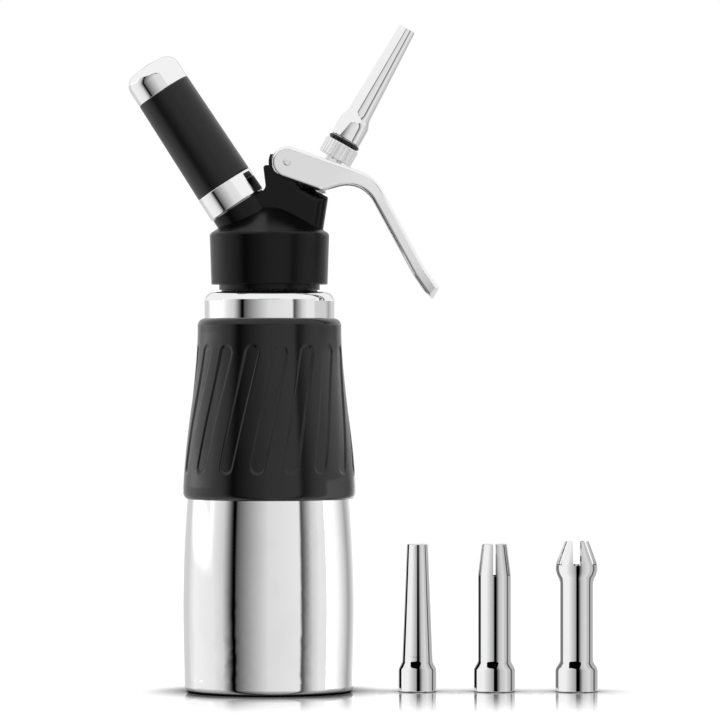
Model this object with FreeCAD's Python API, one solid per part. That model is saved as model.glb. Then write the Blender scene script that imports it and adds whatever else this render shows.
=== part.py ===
import FreeCAD, Part
import math
import os

from FreeCAD import Placement, Rotation, Vector

# Whipped cream dispenser, in millimetres.
# The origin is the centre of the bottle's base. +Z is up, the lever's handle reaches towards +X,
# and the charger holder leans towards -X.

# --- Edge roundings, and how far a cutter runs past what it cuts --------------
fine_edge = 0.2
small_edge = 0.3
edge_break = 0.5
soft_edge = 0.8
overrun = 5.0

# --- Bottle -----------------------------------------------------------------
bottle_wall = 1.0
base_corner = 3.0
base_draw_in = 0.6
base_rim_width = 6.4
base_rim_corner = 1.5
base_recess = 2.0
base_recess_run = 3.0
base_recess_corner = 4.0
belly_radius = 40.0
belly_height = 34.0
waist_draw_in = 1.9
waist_height = 88.0
taper_radius = 33.8
taper_height = 132.0
top_radius = 30.2
top_height = 171.0
shoulder_rise = 14.8
shoulder_corner = 4.3
neck_radius = 22.2
neck_fillet = 1.2
neck_length = 21.2

# --- Silicone sleeve round the bottle ---------------------------------------
sleeve_fit = 0.1
sleeve_foot_rise = 1.1
sleeve_foot_wall = 1.95
sleeve_skin = 1.0
sleeve_foot_corner = 3.2
sleeve_middle_drop = 6.0
sleeve_middle_wall = 3.4
sleeve_top_rise = 2.6
sleeve_top_wall = 3.2
sleeve_top_corner = 3.4
groove_count = 16
groove_width = 6.0
groove_length = 60.0
groove_margin = 12.1
groove_depth = 0.9
groove_tilt = 11.3
groove_phase = 0.7

# --- Head: collar, cone, lever slab and charger boss ------------------------
collar_gap = 3.5
collar_foot_radius = 27.0
collar_top_radius = 27.8
collar_height = 23.6
collar_corner = 1.8
skirt_length = 2.5
skirt_wall = 0.9
thread_clearance = 0.3
cone_foot_radius = 26.2
cone_step = 1.0
cone_rise = 11.0
cone_top_radius = 10.0
cavity_radius = 17.0
cavity_rise = 4.0
slab_half_width = 9.5
slab_back = 2.8
slab_top = 55.2
slab_corner = 1.2
slab_waist_x = -1.5
slab_waist_height = 44.4
slab_waist_corner = 3.0
slab_shoulder_x = -6.0
slab_shoulder_height = 41.5
slab_front_corner = 6.4
slab_front_rake = 2.8
slab_step_run = 2.0
slab_step_rise = 6.0
ear_radius = 8.6
ear_rise = 3.7

# --- Gasket between head and bottle -----------------------------------------
gasket_thickness = 2.4
gasket_play = 0.05
gasket_edge_play = 0.3
gasket_bore_radius = 18.0

# --- Outlet valve, on an axis that leans forward ----------------------------
valve_angle = 60.7
valve_face_x = 21.9
valve_face_z = 43.5
valve_boss_radius = 6.2
spring_bore_radius = 4.8
spring_bore_depth = 13.8
spring_end_play = 0.1
press_play = 0.03
stem_radius = 3.2
stem_bore_radius = 1.8
stem_play = 0.05
stem_foot_radius = 2.2
stem_top_drop = 1.0
outlet_bore_radius = 3.8
valve_seat_depth = 20.0
valve_seat_room = 1.6
bushing_length = 7.0
stem_o_ring_section = 0.72
spring_wire_radius = 0.45
spring_coil_radius = 3.85
spring_turns = 7
flange_radius = 6.0
flange_height = 9.8
flange_thickness = 1.8
stem_thread_radius = 3.9
valve_port_radius = 1.1
disc_radius = 5.6
disc_thickness = 2.0
disc_bore_play = 0.05
seal_thickness = 1.3
seal_inset = 0.2

# --- Knurled nozzle adaptor and nozzle --------------------------------------
adaptor_height = 17.3
adaptor_length = 7.7
adaptor_radius = 8.2
adaptor_edge = 0.6
adaptor_seat_play = 0.1
knurl_count = 28
knurl_radius = 0.62
knurl_proud = 0.22
spigot_radius = 5.5
spigot_length = 8.2
spigot_bore_radius = 2.2
nozzle_ring_section = 1.0
nozzle_ring_radius = 7.7
nozzle_gap = 0.2
nozzle_length = 59.0
nozzle_foot_radius = 7.2
nozzle_foot_length = 5.6
nozzle_flare_length = 2.8
nozzle_root_radius = 5.6
nozzle_tip_radius = 3.95
nozzle_wall = 1.0
nozzle_flare_corner = 1.5
nozzle_root_corner = 2.0
nozzle_throat_wall = 1.5
nozzle_throat_run = 2.0
socket_depth = 8.6

# --- Lever and its pin ------------------------------------------------------
pin_x = 8.33
pin_z = 56.6
pin_radius = 1.75
pin_proud = 0.8
pin_edge = 0.6
pin_play = 0.05
pin_press_play = 0.02
lever_end_radius = 7.4
fork_slope = 19.5
fork_reach = 40.6
cheek_reach = 18.7
handle_slope = 61.4
handle_length = 59.4
handle_depth = 6.1
knee_radius = 18.5
hollow_radius = 13.7
hollow_setback = 1.9
heel_radius = 3.5
lip_start = 49.0
lip_flare = 1.6
lip_bend = 18.0
lip_hollow = 12.0
lip_nose_run = 3.2
lip_nose_drop = 3.6
lip_under_run = 2.0
lip_under_rise = 0.8
lever_round = 1.7
web_thickness = 2.3
cheek_thickness = 2.2
cheek_play = 0.3
plan_fork_end = 22.0
plan_handle_start = 47.0
plan_lip_start = 74.0
plan_lip_end = 90.0
plan_reach = 110.0
plan_ease = 20.0
handle_half_width = 8.6
lip_half_width = 10.2
pad_radius = 2.5
pad_width = 2.0
pad_play = 0.1
stem_slot_play = 0.4
stem_slot_run = 1.4
squeeze_angle = 8.0

# --- Charger holder, on an axis that leans back -----------------------------
holder_angle = 33.1
holder_x = -14.92
holder_z = 37.0
boss_radius = 13.45
boss_gap = 0.3
boss_depth = 24.0
ring_radius = 14.1
ring_length = 11.5
ring_edge = 0.7
grip_length = 51.5
grip_radius = 13.2
grip_fit = 0.05
grip_step = 0.2
cap_length = 14.6
cap_radius = 13.2
cap_corner = 6.0
cap_crown = 1.6
tube_radius = 12.2
charger_play = 0.5
holder_end_wall = 3.0
stub_radius = 11.2
stub_play = 0.05
stub_length = 13.0
stub_depth = 8.0
stub_neck_radius = 4.7
stub_neck_edge = 0.6
charger_radius = 9.0
charger_length = 66.0
charger_neck_radius = 4.4
charger_neck_length = 8.0
charger_shoulder = 8.5
charger_wall = 1.2
charger_neck_corner = 2.0
charger_shoulder_corner = 6.0
charger_end_corner = 7.0
charger_throat_radius = 2.4
needle_radius = 1.3
needle_bore_radius = 0.6
needle_length = 6.0
needle_bevel = 2.0
needle_lip = 0.15
needle_base = 3.2
needle_foot_height = 2.2
inlet_seal_thickness = 1.8
inlet_seal_play = 0.1
needle_play = 0.3
gas_bore_radius = 1.6
check_valve_radius = 2.9
check_valve_length = 4.6
check_valve_rim = 1.1
check_valve_waist_radius = 1.9
check_valve_lip_radius = 1.0
check_valve_bore_radius = 0.5
check_valve_fit = 0.15
bill_play = 0.3

# --- Spare decorating tips --------------------------------------------------
tip_wall = 1.3
tip_base_length = 10.6
tip_base_corner = 3.2
tip_flare_length = 3.6
tip_flare_corner = 2.5
tip_throat_corner = 1.5
slit_count = 6
straight_tip_x = 68.8
straight_tip_height = 68.6
straight_base_radius = 8.8
straight_root_radius = 7.1
straight_mouth_radius = 4.9
star_tip_x = 104.6
star_tip_height = 68.6
star_base_radius = 9.6
star_tube_radius = 7.7
star_shoulder_corner = 16.0
star_mouth_radius = 5.8
star_slit_depth = 14.6
star_slit_width = 1.5
tulip_tip_x = 142.8
tulip_tip_height = 69.9
tulip_base_radius = 9.85
tulip_tube_radius = 7.7
tulip_bulge_radius = 10.5
tulip_bulge_drop = 12.8
tulip_bulge_corner = 9.5
tulip_neck_drop = 18.6
tulip_neck_corner = 7.5
tulip_mouth_radius = 5.6
tulip_slit_depth = 11.0
tulip_slit_width = 4.0

# --- Sizes worked out from the ones above -----------------------------------
shoulder_height = top_height + shoulder_rise
base_radius = belly_radius - base_draw_in
base_ring_radius = base_radius - base_rim_width
waist_radius = belly_radius - waist_draw_in
sleeve_foot_height = waist_height + sleeve_foot_rise
sleeve_foot_radius = waist_radius + sleeve_foot_wall
sleeve_middle_height = taper_height - sleeve_middle_drop
sleeve_middle_radius = taper_radius + sleeve_middle_wall
sleeve_top_height = top_height + sleeve_top_rise
sleeve_top_radius = top_radius + sleeve_top_wall
groove_height = sleeve_foot_height + groove_margin + groove_length / 2
neck_top = shoulder_height + neck_length
collar_foot = shoulder_height + collar_gap
gasket_foot = neck_top + gasket_play - collar_foot
gasket_seat = gasket_foot + gasket_thickness + gasket_play
flange_top = flange_height + flange_thickness
spring_seat = bushing_length - (spring_bore_depth - 2 * stem_o_ring_section - 2 * stem_play)
fork_half_width = slab_half_width + cheek_play + cheek_thickness
nozzle_foot = adaptor_height + adaptor_length + 2 * nozzle_ring_section + 2 * nozzle_gap
socket_radius = spigot_radius + thread_clearance
grip_foot = ring_length
cap_foot = ring_length + grip_length
holder_length = cap_foot + cap_length
charger_foot = needle_foot_height + needle_base + inlet_seal_thickness + boss_gap


# --- Drawing helpers --------------------------------------------------------
def rounded_edges(corners, closed):
    """Straight edges through (x, z, radius) corners in the XZ plane, with a tangent arc at each rounded one."""
    count = len(corners)
    arcs = []
    for i, (x, z, radius) in enumerate(corners):
        corner = Vector(x, 0, z)
        if not radius or (not closed and i in (0, count - 1)):
            arcs.append((corner, corner, corner))
            continue
        before = corners[i - 1]
        after = corners[(i + 1) % count]
        back = (Vector(before[0], 0, before[1]) - corner).normalize()
        on = (Vector(after[0], 0, after[1]) - corner).normalize()
        half = back.getAngle(on) / 2
        reach = radius / math.tan(half)
        middle = corner + (back + on).normalize() * (radius / math.sin(half) - radius)
        arcs.append((corner + back * reach, middle, corner + on * reach))
    edges = []
    for i, (start, middle, end) in enumerate(arcs):
        if start.distanceToPoint(end) > 1e-6:
            edges.append(Part.Arc(start, middle, end).toShape())
        following = arcs[(i + 1) % count][0]
        last = not closed and i == count - 1
        if not last and end.distanceToPoint(following) > 1e-6:
            edges.append(Part.LineSegment(end, following).toShape())
    return edges


def curve_edge(points, start_slope, end_slope):
    """One smooth edge through (x, z) points, leaving and arriving along the given (x, z) directions."""
    curve = Part.BSplineCurve()
    curve.interpolate(
        Points=[Vector(x, 0, z) for x, z in points],
        InitialTangent=Vector(start_slope[0], 0, start_slope[1]),
        FinalTangent=Vector(end_slope[0], 0, end_slope[1]),
    )
    return curve.toShape()


def face_of(edges):
    return Part.Face(Part.Wire(Part.__sortEdges__(edges)))


def turned(corners):
    """A solid of revolution about Z from closed (radius, height, rounding) corners."""
    return face_of(rounded_edges(corners, True)).revolve(Vector(0, 0, 0), Vector(0, 0, 1), 360)


def slab_of(corners, half_width):
    """A plate with an (x, z, radius) outline, half_width to each side of the XZ plane."""
    plate = face_of(rounded_edges(corners, True)).extrude(Vector(0, 2 * half_width, 0))
    plate.translate(Vector(0, -half_width, 0))
    return plate


def rod(radius, foot, top):
    return Part.makeCylinder(radius, top - foot, Vector(0, 0, foot))


def cross_rod(radius, half_length, x, z):
    return Part.makeCylinder(radius, 2 * half_length, Vector(x, -half_length, z), Vector(0, 1, 0))


def ring_of(centre_radius, section, height):
    return Part.makeTorus(centre_radius, section, Vector(0, 0, height))


def on_head(shape):
    """Lifts a shape drawn from the collar's lower rim to its place on the bottle."""
    shape = shape.copy()
    shape.translate(Vector(0, 0, collar_foot))
    return shape


def on_valve(shape):
    """Turns a shape drawn along Z onto the valve's axis, with its zero at the head's slanted face."""
    lean = Rotation(Vector(0, 1, 0), 90 - valve_angle)
    shape = shape.copy()
    shape.Placement = Placement(Vector(valve_face_x, 0, valve_face_z), lean) * shape.Placement
    return shape


def on_holder(shape):
    """Turns a shape drawn along Z onto the charger holder's axis, with its zero at the holder's foot."""
    lean = Rotation(Vector(0, 1, 0), -holder_angle)
    shape = shape.copy()
    shape.Placement = Placement(Vector(holder_x, 0, holder_z), lean) * shape.Placement
    return shape


# --- Bottle and sleeve ------------------------------------------------------
def bottle_form(inset):
    """The bottle's outer form, drawn in by inset all over."""
    side_foot = 2 * base_corner
    base = [
        (0, base_recess + inset, 0),
        (base_ring_radius - base_recess_run, base_recess + inset, base_recess_corner),
        (base_ring_radius, inset, base_rim_corner),
        (base_radius - inset, inset, base_corner - 0.5 * inset),
        (base_radius - inset, side_foot, 0),
    ]
    side = [
        (base_radius - inset, side_foot),
        (belly_radius - inset, belly_height),
        (waist_radius - inset, waist_height),
        (taper_radius - inset, taper_height),
        (top_radius - inset, top_height),
    ]
    top = [
        (top_radius - inset, top_height, 0),
        (top_radius - inset, shoulder_height - inset, shoulder_corner - inset),
        (neck_radius - inset, shoulder_height - inset, neck_fillet + inset),
        (neck_radius - inset, neck_top, 0),
        (0, neck_top, 0),
    ]
    axis = Part.LineSegment(Vector(0, 0, neck_top), Vector(0, 0, base_recess + inset)).toShape()
    edges = rounded_edges(base, False)
    edges.append(curve_edge(side, (0.02, 1), (0, 1)))
    edges += rounded_edges(top, False)
    edges.append(axis)
    return face_of(edges).revolve(Vector(0, 0, 0), Vector(0, 0, 1), 360)


def bottle_shell():
    return bottle_form(0).cut(bottle_form(bottle_wall))


def sleeve_form(inset):
    """The sleeve's outer form as a full body, drawn in by inset all round."""
    foot_z = sleeve_foot_height + inset
    top_z = sleeve_top_height - inset
    foot_side = sleeve_foot_height + 2 * sleeve_foot_corner
    top_side = sleeve_top_height - 2 * sleeve_top_corner
    foot = [
        (0, foot_z, 0),
        (sleeve_foot_radius - inset, foot_z, sleeve_foot_corner),
        (sleeve_foot_radius - inset, foot_side, 0),
    ]
    side = [
        (sleeve_foot_radius - inset, foot_side),
        (sleeve_middle_radius - inset, sleeve_middle_height),
        (sleeve_top_radius - inset, top_side),
    ]
    top = [
        (sleeve_top_radius - inset, top_side, 0),
        (sleeve_top_radius - inset, top_z, sleeve_top_corner),
        (0, top_z, 0),
    ]
    axis = Part.LineSegment(Vector(0, 0, top_z), Vector(0, 0, foot_z)).toShape()
    edges = rounded_edges(foot, False)
    edges.append(curve_edge(side, (-0.05, 1), (-0.02, 1)))
    edges += rounded_edges(top, False)
    edges.append(axis)
    return face_of(edges).revolve(Vector(0, 0, 0), Vector(0, 0, 1), 360)


def groove_bars():
    """One round-ended bar through the sleeve for each groove, leaning with the twist."""
    half_width = groove_width / 2
    half_length = groove_length / 2
    outline = [
        (-half_width, -half_length, half_width),
        (half_width, -half_length, half_width),
        (half_width, half_length, half_width),
        (-half_width, half_length, half_width),
    ]
    bar = face_of(rounded_edges(outline, True)).extrude(Vector(0, -2 * sleeve_foot_radius, 0))
    bar.rotate(Vector(0, 0, 0), Vector(0, 1, 0), groove_tilt)
    bar.translate(Vector(0, 0, groove_height))
    bars = []
    for i in range(groove_count):
        turned_bar = bar.copy()
        turned_bar.rotate(Vector(0, 0, 0), Vector(0, 0, 1), groove_phase + 360 * i / groove_count)
        bars.append(turned_bar)
    return bars


def bottle_sleeve():
    sleeve = sleeve_form(0).cut(bottle_form(-sleeve_fit))
    skin = sleeve_form(-sleeve_skin).cut(sleeve_form(groove_depth))
    return sleeve.cut([skin.common(bar) for bar in groove_bars()])


# --- Head -------------------------------------------------------------------
def collar():
    cone_foot = collar_height + cone_step
    skirt_radius = neck_radius + thread_clearance + skirt_wall
    return turned(
        [
            (0, -skirt_length, 0),
            (skirt_radius, -skirt_length, small_edge),
            (skirt_radius, 0, 0),
            (collar_foot_radius, 0, edge_break),
            (collar_top_radius, collar_height, collar_corner),
            (cone_foot_radius, cone_foot, cone_step),
            (cone_top_radius, cone_foot + cone_rise, 0),
            (0, cone_foot + cone_rise, 0),
        ]
    )


def lever_slab():
    """The plate that carries the lever: back edge, ear round the pin, and the slanted valve face."""
    along = Vector(math.sin(math.radians(valve_angle)), 0, -math.cos(math.radians(valve_angle)))
    face = Vector(valve_face_x, 0, valve_face_z)
    near = face - along * valve_boss_radius
    far = face + along * valve_boss_radius
    foot = collar_height - cone_step
    front_foot = far.x - slab_front_rake
    plate = slab_of(
        [
            (slab_shoulder_x, foot, 0),
            (slab_shoulder_x, slab_shoulder_height, soft_edge),
            (slab_waist_x, slab_waist_height, slab_waist_corner),
            (-slab_back, slab_top, slab_corner),
            (pin_x, slab_top, 0),
            (near.x - slab_step_run, near.z + slab_step_rise, 0),
            (near.x, near.z, soft_edge),
            (far.x, far.z, soft_edge),
            (front_foot, foot, 0),
        ],
        slab_half_width,
    )
    front = [e for e in plate.Edges if e.BoundBox.XMin > front_foot - fine_edge and e.BoundBox.YLength < fine_edge]
    plate = plate.makeFillet(slab_front_corner, front)
    return plate.fuse(ear())


def ear():
    """The round of the ear, cut flat under the lever's web where it lies at rest and when squeezed."""
    round_ear = cross_rod(ear_radius, slab_half_width, pin_x, pin_z)
    reach = 3 * ear_radius
    room = lever_end_radius - web_thickness - cheek_play
    flats = ((0, ear_rise), (fork_slope, room))
    swept_flats = [(slope + squeeze_angle, rise) for slope, rise in flats]
    for slope, rise in list(flats) + swept_flats:
        block = Part.makeBox(2 * reach, 2 * reach, reach, Vector(-reach, -reach, rise))
        block.rotate(Vector(0, 0, 0), Vector(0, 1, 0), slope)
        block.translate(Vector(pin_x, 0, pin_z))
        round_ear = round_ear.cut(block)
    return round_ear


def head_body():
    body = collar().fuse([lever_slab(), on_holder(rod(boss_radius, -boss_depth, -boss_gap))])
    neck_hole = rod(neck_radius + thread_clearance, -skirt_length - overrun, gasket_seat)
    cavity = rod(cavity_radius, 0, gasket_seat + cavity_rise)
    spring_bore = on_valve(rod(spring_bore_radius, -spring_bore_depth, overrun))
    outlet = on_valve(rod(outlet_bore_radius, -valve_seat_depth - overrun, 0))
    seat_room = on_valve(rod(disc_radius + valve_seat_room, -valve_seat_depth - cavity_radius, -valve_seat_depth))
    stub_bore = on_holder(rod(stub_radius + stub_play, -stub_depth, overrun))
    bill_room = on_holder(rod(check_valve_radius + bill_play, -stub_depth - check_valve_length, 0))
    gas_bore = on_holder(rod(gas_bore_radius, -stub_depth - cavity_radius, 0))
    pin_hole = cross_rod(pin_radius + pin_press_play, slab_half_width + overrun, pin_x, pin_z)
    body = body.cut([neck_hole, cavity, spring_bore, outlet, seat_room])
    return body.cut([stub_bore, bill_room, gas_bore, pin_hole])


def head_gasket():
    outer = neck_radius + thread_clearance - gasket_edge_play
    return turned(
        [
            (gasket_bore_radius, gasket_foot, edge_break),
            (outer, gasket_foot, edge_break),
            (outer, gasket_foot + gasket_thickness, edge_break),
            (gasket_bore_radius, gasket_foot + gasket_thickness, edge_break),
        ]
    )


# --- Outlet valve -----------------------------------------------------------
def valve_bushing():
    foot = spring_seat - bushing_length
    body = turned(
        [
            (stem_radius + stem_play, foot, 0),
            (spring_bore_radius - press_play, foot, small_edge),
            (spring_bore_radius - press_play, spring_seat, small_edge),
            (stem_radius + stem_play, spring_seat, 0),
        ]
    )
    return on_valve(body)


def stem_o_ring():
    height = -spring_bore_depth + stem_o_ring_section + stem_play
    centre = (spring_bore_radius + stem_radius) / 2
    return on_valve(ring_of(centre, stem_o_ring_section, height))


def valve_spring():
    foot = spring_seat + spring_wire_radius + stem_play
    top = flange_height - spring_wire_radius - spring_end_play
    pitch = (top - foot) / spring_turns
    half_turns = []
    for i in range(2 * spring_turns):
        half_turn = Part.makeHelix(pitch, pitch / 2, spring_coil_radius)
        half_turn.rotate(Vector(0, 0, 0), Vector(0, 0, 1), 180 * i)
        half_turn.translate(Vector(0, 0, i * pitch / 2))
        half_turns += half_turn.Edges
    tilt = Vector(0, spring_coil_radius * 2 * math.pi, pitch)
    section = Part.Wire(Part.Circle(Vector(spring_coil_radius, 0, 0), tilt, spring_wire_radius).toShape())
    coil = Part.Wire(half_turns).makePipeShell([section], True, True)
    coil.translate(Vector(0, 0, foot))
    return on_valve(coil)


def valve_stem():
    foot = -valve_seat_depth - seal_thickness - disc_thickness
    top = adaptor_height + adaptor_length - stem_top_drop
    port_height = -valve_seat_depth + valve_port_radius + small_edge
    stem = turned(
        [
            (0, foot, 0),
            (stem_foot_radius, foot, fine_edge),
            (stem_foot_radius, -valve_seat_depth, 0),
            (stem_radius, -valve_seat_depth, small_edge),
            (stem_radius, flange_height, small_edge),
            (flange_radius, flange_height, small_edge),
            (flange_radius, flange_top, small_edge),
            (stem_thread_radius, flange_top, small_edge),
            (stem_thread_radius, top, edge_break),
            (0, top, 0),
        ]
    )
    passage = rod(stem_bore_radius, port_height, top + overrun)
    port = cross_rod(valve_port_radius, stem_radius + overrun, 0, port_height)
    return on_valve(stem.cut([passage, port]))


def valve_seal():
    foot = -valve_seat_depth - seal_thickness
    return on_valve(
        turned(
            [
                (stem_foot_radius + disc_bore_play, foot, 0),
                (disc_radius - seal_inset, foot, fine_edge),
                (disc_radius - seal_inset, -valve_seat_depth - stem_play, small_edge),
                (stem_foot_radius + disc_bore_play, -valve_seat_depth - stem_play, 0),
            ]
        )
    )


def valve_disc():
    foot = -valve_seat_depth - seal_thickness - disc_thickness
    top = -valve_seat_depth - seal_thickness - press_play
    return on_valve(
        turned(
            [
                (stem_foot_radius + disc_bore_play, foot, 0),
                (disc_radius, foot, edge_break),
                (disc_radius, top, small_edge),
                (stem_foot_radius + disc_bore_play, top, 0),
            ]
        )
    )


# --- Adaptor, its ring and the nozzle ---------------------------------------
def nozzle_adaptor():
    top = adaptor_height + adaptor_length
    nut = turned(
        [
            (0, adaptor_height, 0),
            (adaptor_radius, adaptor_height, adaptor_edge),
            (adaptor_radius, top, adaptor_edge),
            (spigot_radius, top, fine_edge),
            (spigot_radius, top + spigot_length, edge_break),
            (0, top + spigot_length, 0),
        ]
    )
    flutes = []
    for i in range(knurl_count):
        angle = 2 * math.pi * i / knurl_count
        reach = adaptor_radius + knurl_proud
        place = Vector(reach * math.cos(angle), reach * math.sin(angle), adaptor_height - overrun)
        flutes.append(Part.makeCylinder(knurl_radius, adaptor_length + overrun + adaptor_edge, place))
    stem_hole = rod(stem_thread_radius + stem_play, adaptor_height - overrun, top - stem_top_drop + adaptor_seat_play)
    passage = rod(spigot_bore_radius, adaptor_height, top + spigot_length + overrun)
    return on_valve(nut.cut(flutes).cut([stem_hole, passage]))


def nozzle_o_ring():
    height = adaptor_height + adaptor_length + nozzle_gap + nozzle_ring_section
    return on_valve(ring_of(nozzle_ring_radius - nozzle_ring_section, nozzle_ring_section, height))


def nozzle():
    foot = nozzle_foot
    flare = foot + nozzle_foot_length
    root = flare + nozzle_flare_length
    top = foot + nozzle_length
    return on_valve(
        turned(
            [
                (socket_radius, foot, small_edge),
                (nozzle_foot_radius, foot, edge_break),
                (nozzle_foot_radius, flare, nozzle_flare_corner),
                (nozzle_root_radius, root, nozzle_root_corner),
                (nozzle_tip_radius, top, small_edge),
                (nozzle_tip_radius - nozzle_wall, top, small_edge),
                (nozzle_root_radius - nozzle_throat_wall, foot + socket_depth + nozzle_throat_run, 0),
                (socket_radius, foot + socket_depth, 0),
            ]
        )
    )


# --- Lever ------------------------------------------------------------------
def heading(slope):
    """The direction that falls by slope degrees towards +X, and its upper normal."""
    angle = math.radians(slope)
    return Vector(math.cos(angle), 0, -math.sin(angle)), Vector(math.sin(angle), 0, math.cos(angle))


def lever_outline():
    """The lever's side view about its pin: fork, knee, handle and flared lip."""
    fork, above = heading(fork_slope)
    handle, outside = heading(handle_slope)
    knee = above * lever_end_radius + fork * fork_reach
    points = [
        (above * lever_end_radius - fork * lever_end_radius, lever_end_radius),
        (knee, knee_radius),
        (knee + handle * lip_start, lip_bend),
        (knee + handle * handle_length + outside * lip_flare, 0),
        (knee + handle * (handle_length + lip_nose_run) - outside * lip_nose_drop, 0),
        (knee + handle * (handle_length - lip_under_run) - outside * (handle_depth - lip_under_rise), 0),
        (knee + handle * lip_start - outside * handle_depth, lip_hollow),
        (knee - handle * hollow_setback - outside * handle_depth, hollow_radius),
        (fork * cheek_reach - above * lever_end_radius, heel_radius),
        (-above * lever_end_radius - fork * lever_end_radius, lever_end_radius),
    ]
    return [(p.x, p.z, radius) for p, radius in points]


def channel_outline():
    """The room under the lever's web, open below and past the lip."""
    fork, above = heading(fork_slope)
    handle, outside = heading(handle_slope)
    knee = above * lever_end_radius + fork * fork_reach
    knee_inside = knee - (above + outside) * (web_thickness / (1 + above.dot(outside)))
    under_web = lever_end_radius - web_thickness
    back_rise = ear_rise + cheek_play
    back_reach = (under_web - back_rise * above.z) / above.x
    flare_slope = lip_flare / (handle_length - lip_start)
    past_lip = handle_length - lip_start + lip_bend
    bend = knee + handle * lip_start - outside * web_thickness
    lip = bend + handle * past_lip + outside * (past_lip * flare_slope)
    points = [
        (Vector(-handle_length, 0, back_rise), 0),
        (Vector(back_reach, 0, back_rise), 0),
        (knee_inside, knee_radius - web_thickness),
        (bend, lip_bend),
        (lip, 0),
        (lip - outside * handle_length, 0),
        (Vector(-handle_length, 0, -plan_reach), 0),
    ]
    return [(p.x, p.z, radius) for p, radius in points]


def lever_plan(inset):
    """The lever's width along its length, as a tall block that falls midway between fork and handle."""
    fork_width = fork_half_width - inset
    handle_width = handle_half_width - inset
    lip_width = lip_half_width - inset
    back = -plan_fork_end
    flare = Vector(plan_lip_end - plan_lip_start, 0, lip_width - handle_width)
    sides = []
    for side in (1, -1):
        neck = [(plan_fork_end, side * fork_width), (plan_handle_start, side * handle_width)]
        handle = [
            (plan_handle_start, side * handle_width),
            (plan_lip_start, side * handle_width),
            (plan_lip_end, side * lip_width),
        ]
        fork_start = Vector(back, 0, side * fork_width)
        lip = Vector(plan_lip_end, 0, side * lip_width)
        end = Vector(plan_reach, 0, side * lip_half_width)
        sides.append(Part.LineSegment(fork_start, Vector(plan_fork_end, 0, side * fork_width)).toShape())
        sides.append(curve_edge(neck, (plan_ease, 0), (plan_ease, 0)))
        sides.append(curve_edge(handle, (plan_ease, 0), (flare.x, side * 2 * flare.z)))
        sides.append(Part.LineSegment(lip, end).toShape())
    sides.append(Part.LineSegment(Vector(back, 0, fork_width), Vector(back, 0, -fork_width)).toShape())
    far = Vector(plan_reach, 0, lip_half_width)
    sides.append(Part.LineSegment(far, Vector(plan_reach, 0, -lip_half_width)).toShape())
    block = face_of(sides).extrude(Vector(0, 2 * plan_reach, 0))
    block.translate(Vector(0, -plan_reach, 0))
    block.rotate(Vector(0, 0, 0), Vector(1, 0, 0), 90)
    block.rotate(Vector(0, 0, 0), Vector(0, 1, 0), (fork_slope + handle_slope) / 2)
    return block


def cam_pads():
    """Two rounded ribs under the web that press on the stem's flange, one on each side of the stem."""
    inner = stem_thread_radius + stem_slot_play
    nose = flange_top + pad_play + pad_radius
    pads = []
    for side in (1, -1):
        start = inner if side > 0 else -inner - pad_width
        pads.append(Part.makeCylinder(pad_radius, pad_width, Vector(0, start, nose), Vector(0, 1, 0)))
    return [on_valve(p) for p in pads]


def stem_slot():
    """The slot in the web that lets the stem rise and tilt as the lever swings."""
    half = stem_thread_radius + stem_slot_play
    outline = [
        (-half - stem_slot_run, -half, half),
        (half, -half, half),
        (half, half, half),
        (-half - stem_slot_run, half, half),
    ]
    slot = face_of(rounded_edges(outline, True)).extrude(Vector(0, flange_top + lever_end_radius + overrun, 0))
    slot.rotate(Vector(0, 0, 0), Vector(1, 0, 0), 90)
    return on_valve(slot)


def rounded_lever():
    """The lever as a full bar, rounded along its top edges from the fork's end to the lip."""
    wide = fork_half_width + lip_half_width
    bar = slab_of(lever_outline(), wide).common(lever_plan(0))
    middle = lever_end_radius + lever_end_radius * math.tan(math.radians(fork_slope))
    top = []
    for edge in bar.Edges:
        at = edge.valueAt((edge.FirstParameter + edge.LastParameter) / 2)
        if abs(abs(at.y) - fork_half_width) < fine_edge and abs(at.x - middle) < lever_end_radius and at.z > 0:
            top.append(edge)
    return bar.makeFillet(lever_round, top)


def lever():
    wide = fork_half_width + lip_half_width
    room = slab_of(channel_outline(), wide).common(lever_plan(cheek_thickness))
    body = rounded_lever().cut(room)
    body.translate(Vector(pin_x, 0, pin_z))
    body = body.fuse(cam_pads())
    hole = cross_rod(pin_radius + pin_play, wide, pin_x, pin_z)
    return body.cut([stem_slot(), hole])


def lever_pin():
    half = fork_half_width + pin_proud
    pin = turned(
        [
            (0, -half, 0),
            (pin_radius, -half, pin_edge),
            (pin_radius, half, pin_edge),
            (0, half, 0),
        ]
    )
    pin.rotate(Vector(0, 0, 0), Vector(1, 0, 0), 90)
    pin.translate(Vector(pin_x, 0, pin_z))
    return pin


# --- Charger, its inlet and its holder --------------------------------------
def inlet_stub():
    body = turned(
        [
            (gas_bore_radius, -stub_depth + check_valve_rim + fine_edge / 2, 0),
            (check_valve_radius + check_valve_fit, -stub_depth + check_valve_rim + fine_edge / 2, 0),
            (check_valve_radius + check_valve_fit, -stub_depth, 0),
            (stub_radius, -stub_depth, edge_break),
            (stub_radius, stub_length, soft_edge),
            (stub_neck_radius, stub_length, stub_neck_edge),
            (stub_neck_radius, needle_foot_height, 0),
            (gas_bore_radius, needle_foot_height, 0),
        ]
    )
    return on_holder(body)


def piercing_pin():
    base_top = needle_foot_height + needle_base
    tip = base_top + needle_length
    return on_holder(
        turned(
            [
                (needle_bore_radius, needle_foot_height, 0),
                (stub_neck_radius - press_play, needle_foot_height, fine_edge),
                (stub_neck_radius - press_play, base_top, fine_edge),
                (needle_radius, base_top, small_edge),
                (needle_radius, tip - needle_bevel, 0),
                (needle_bore_radius + needle_lip, tip, 0),
                (needle_bore_radius, tip, 0),
            ]
        )
    )


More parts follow.
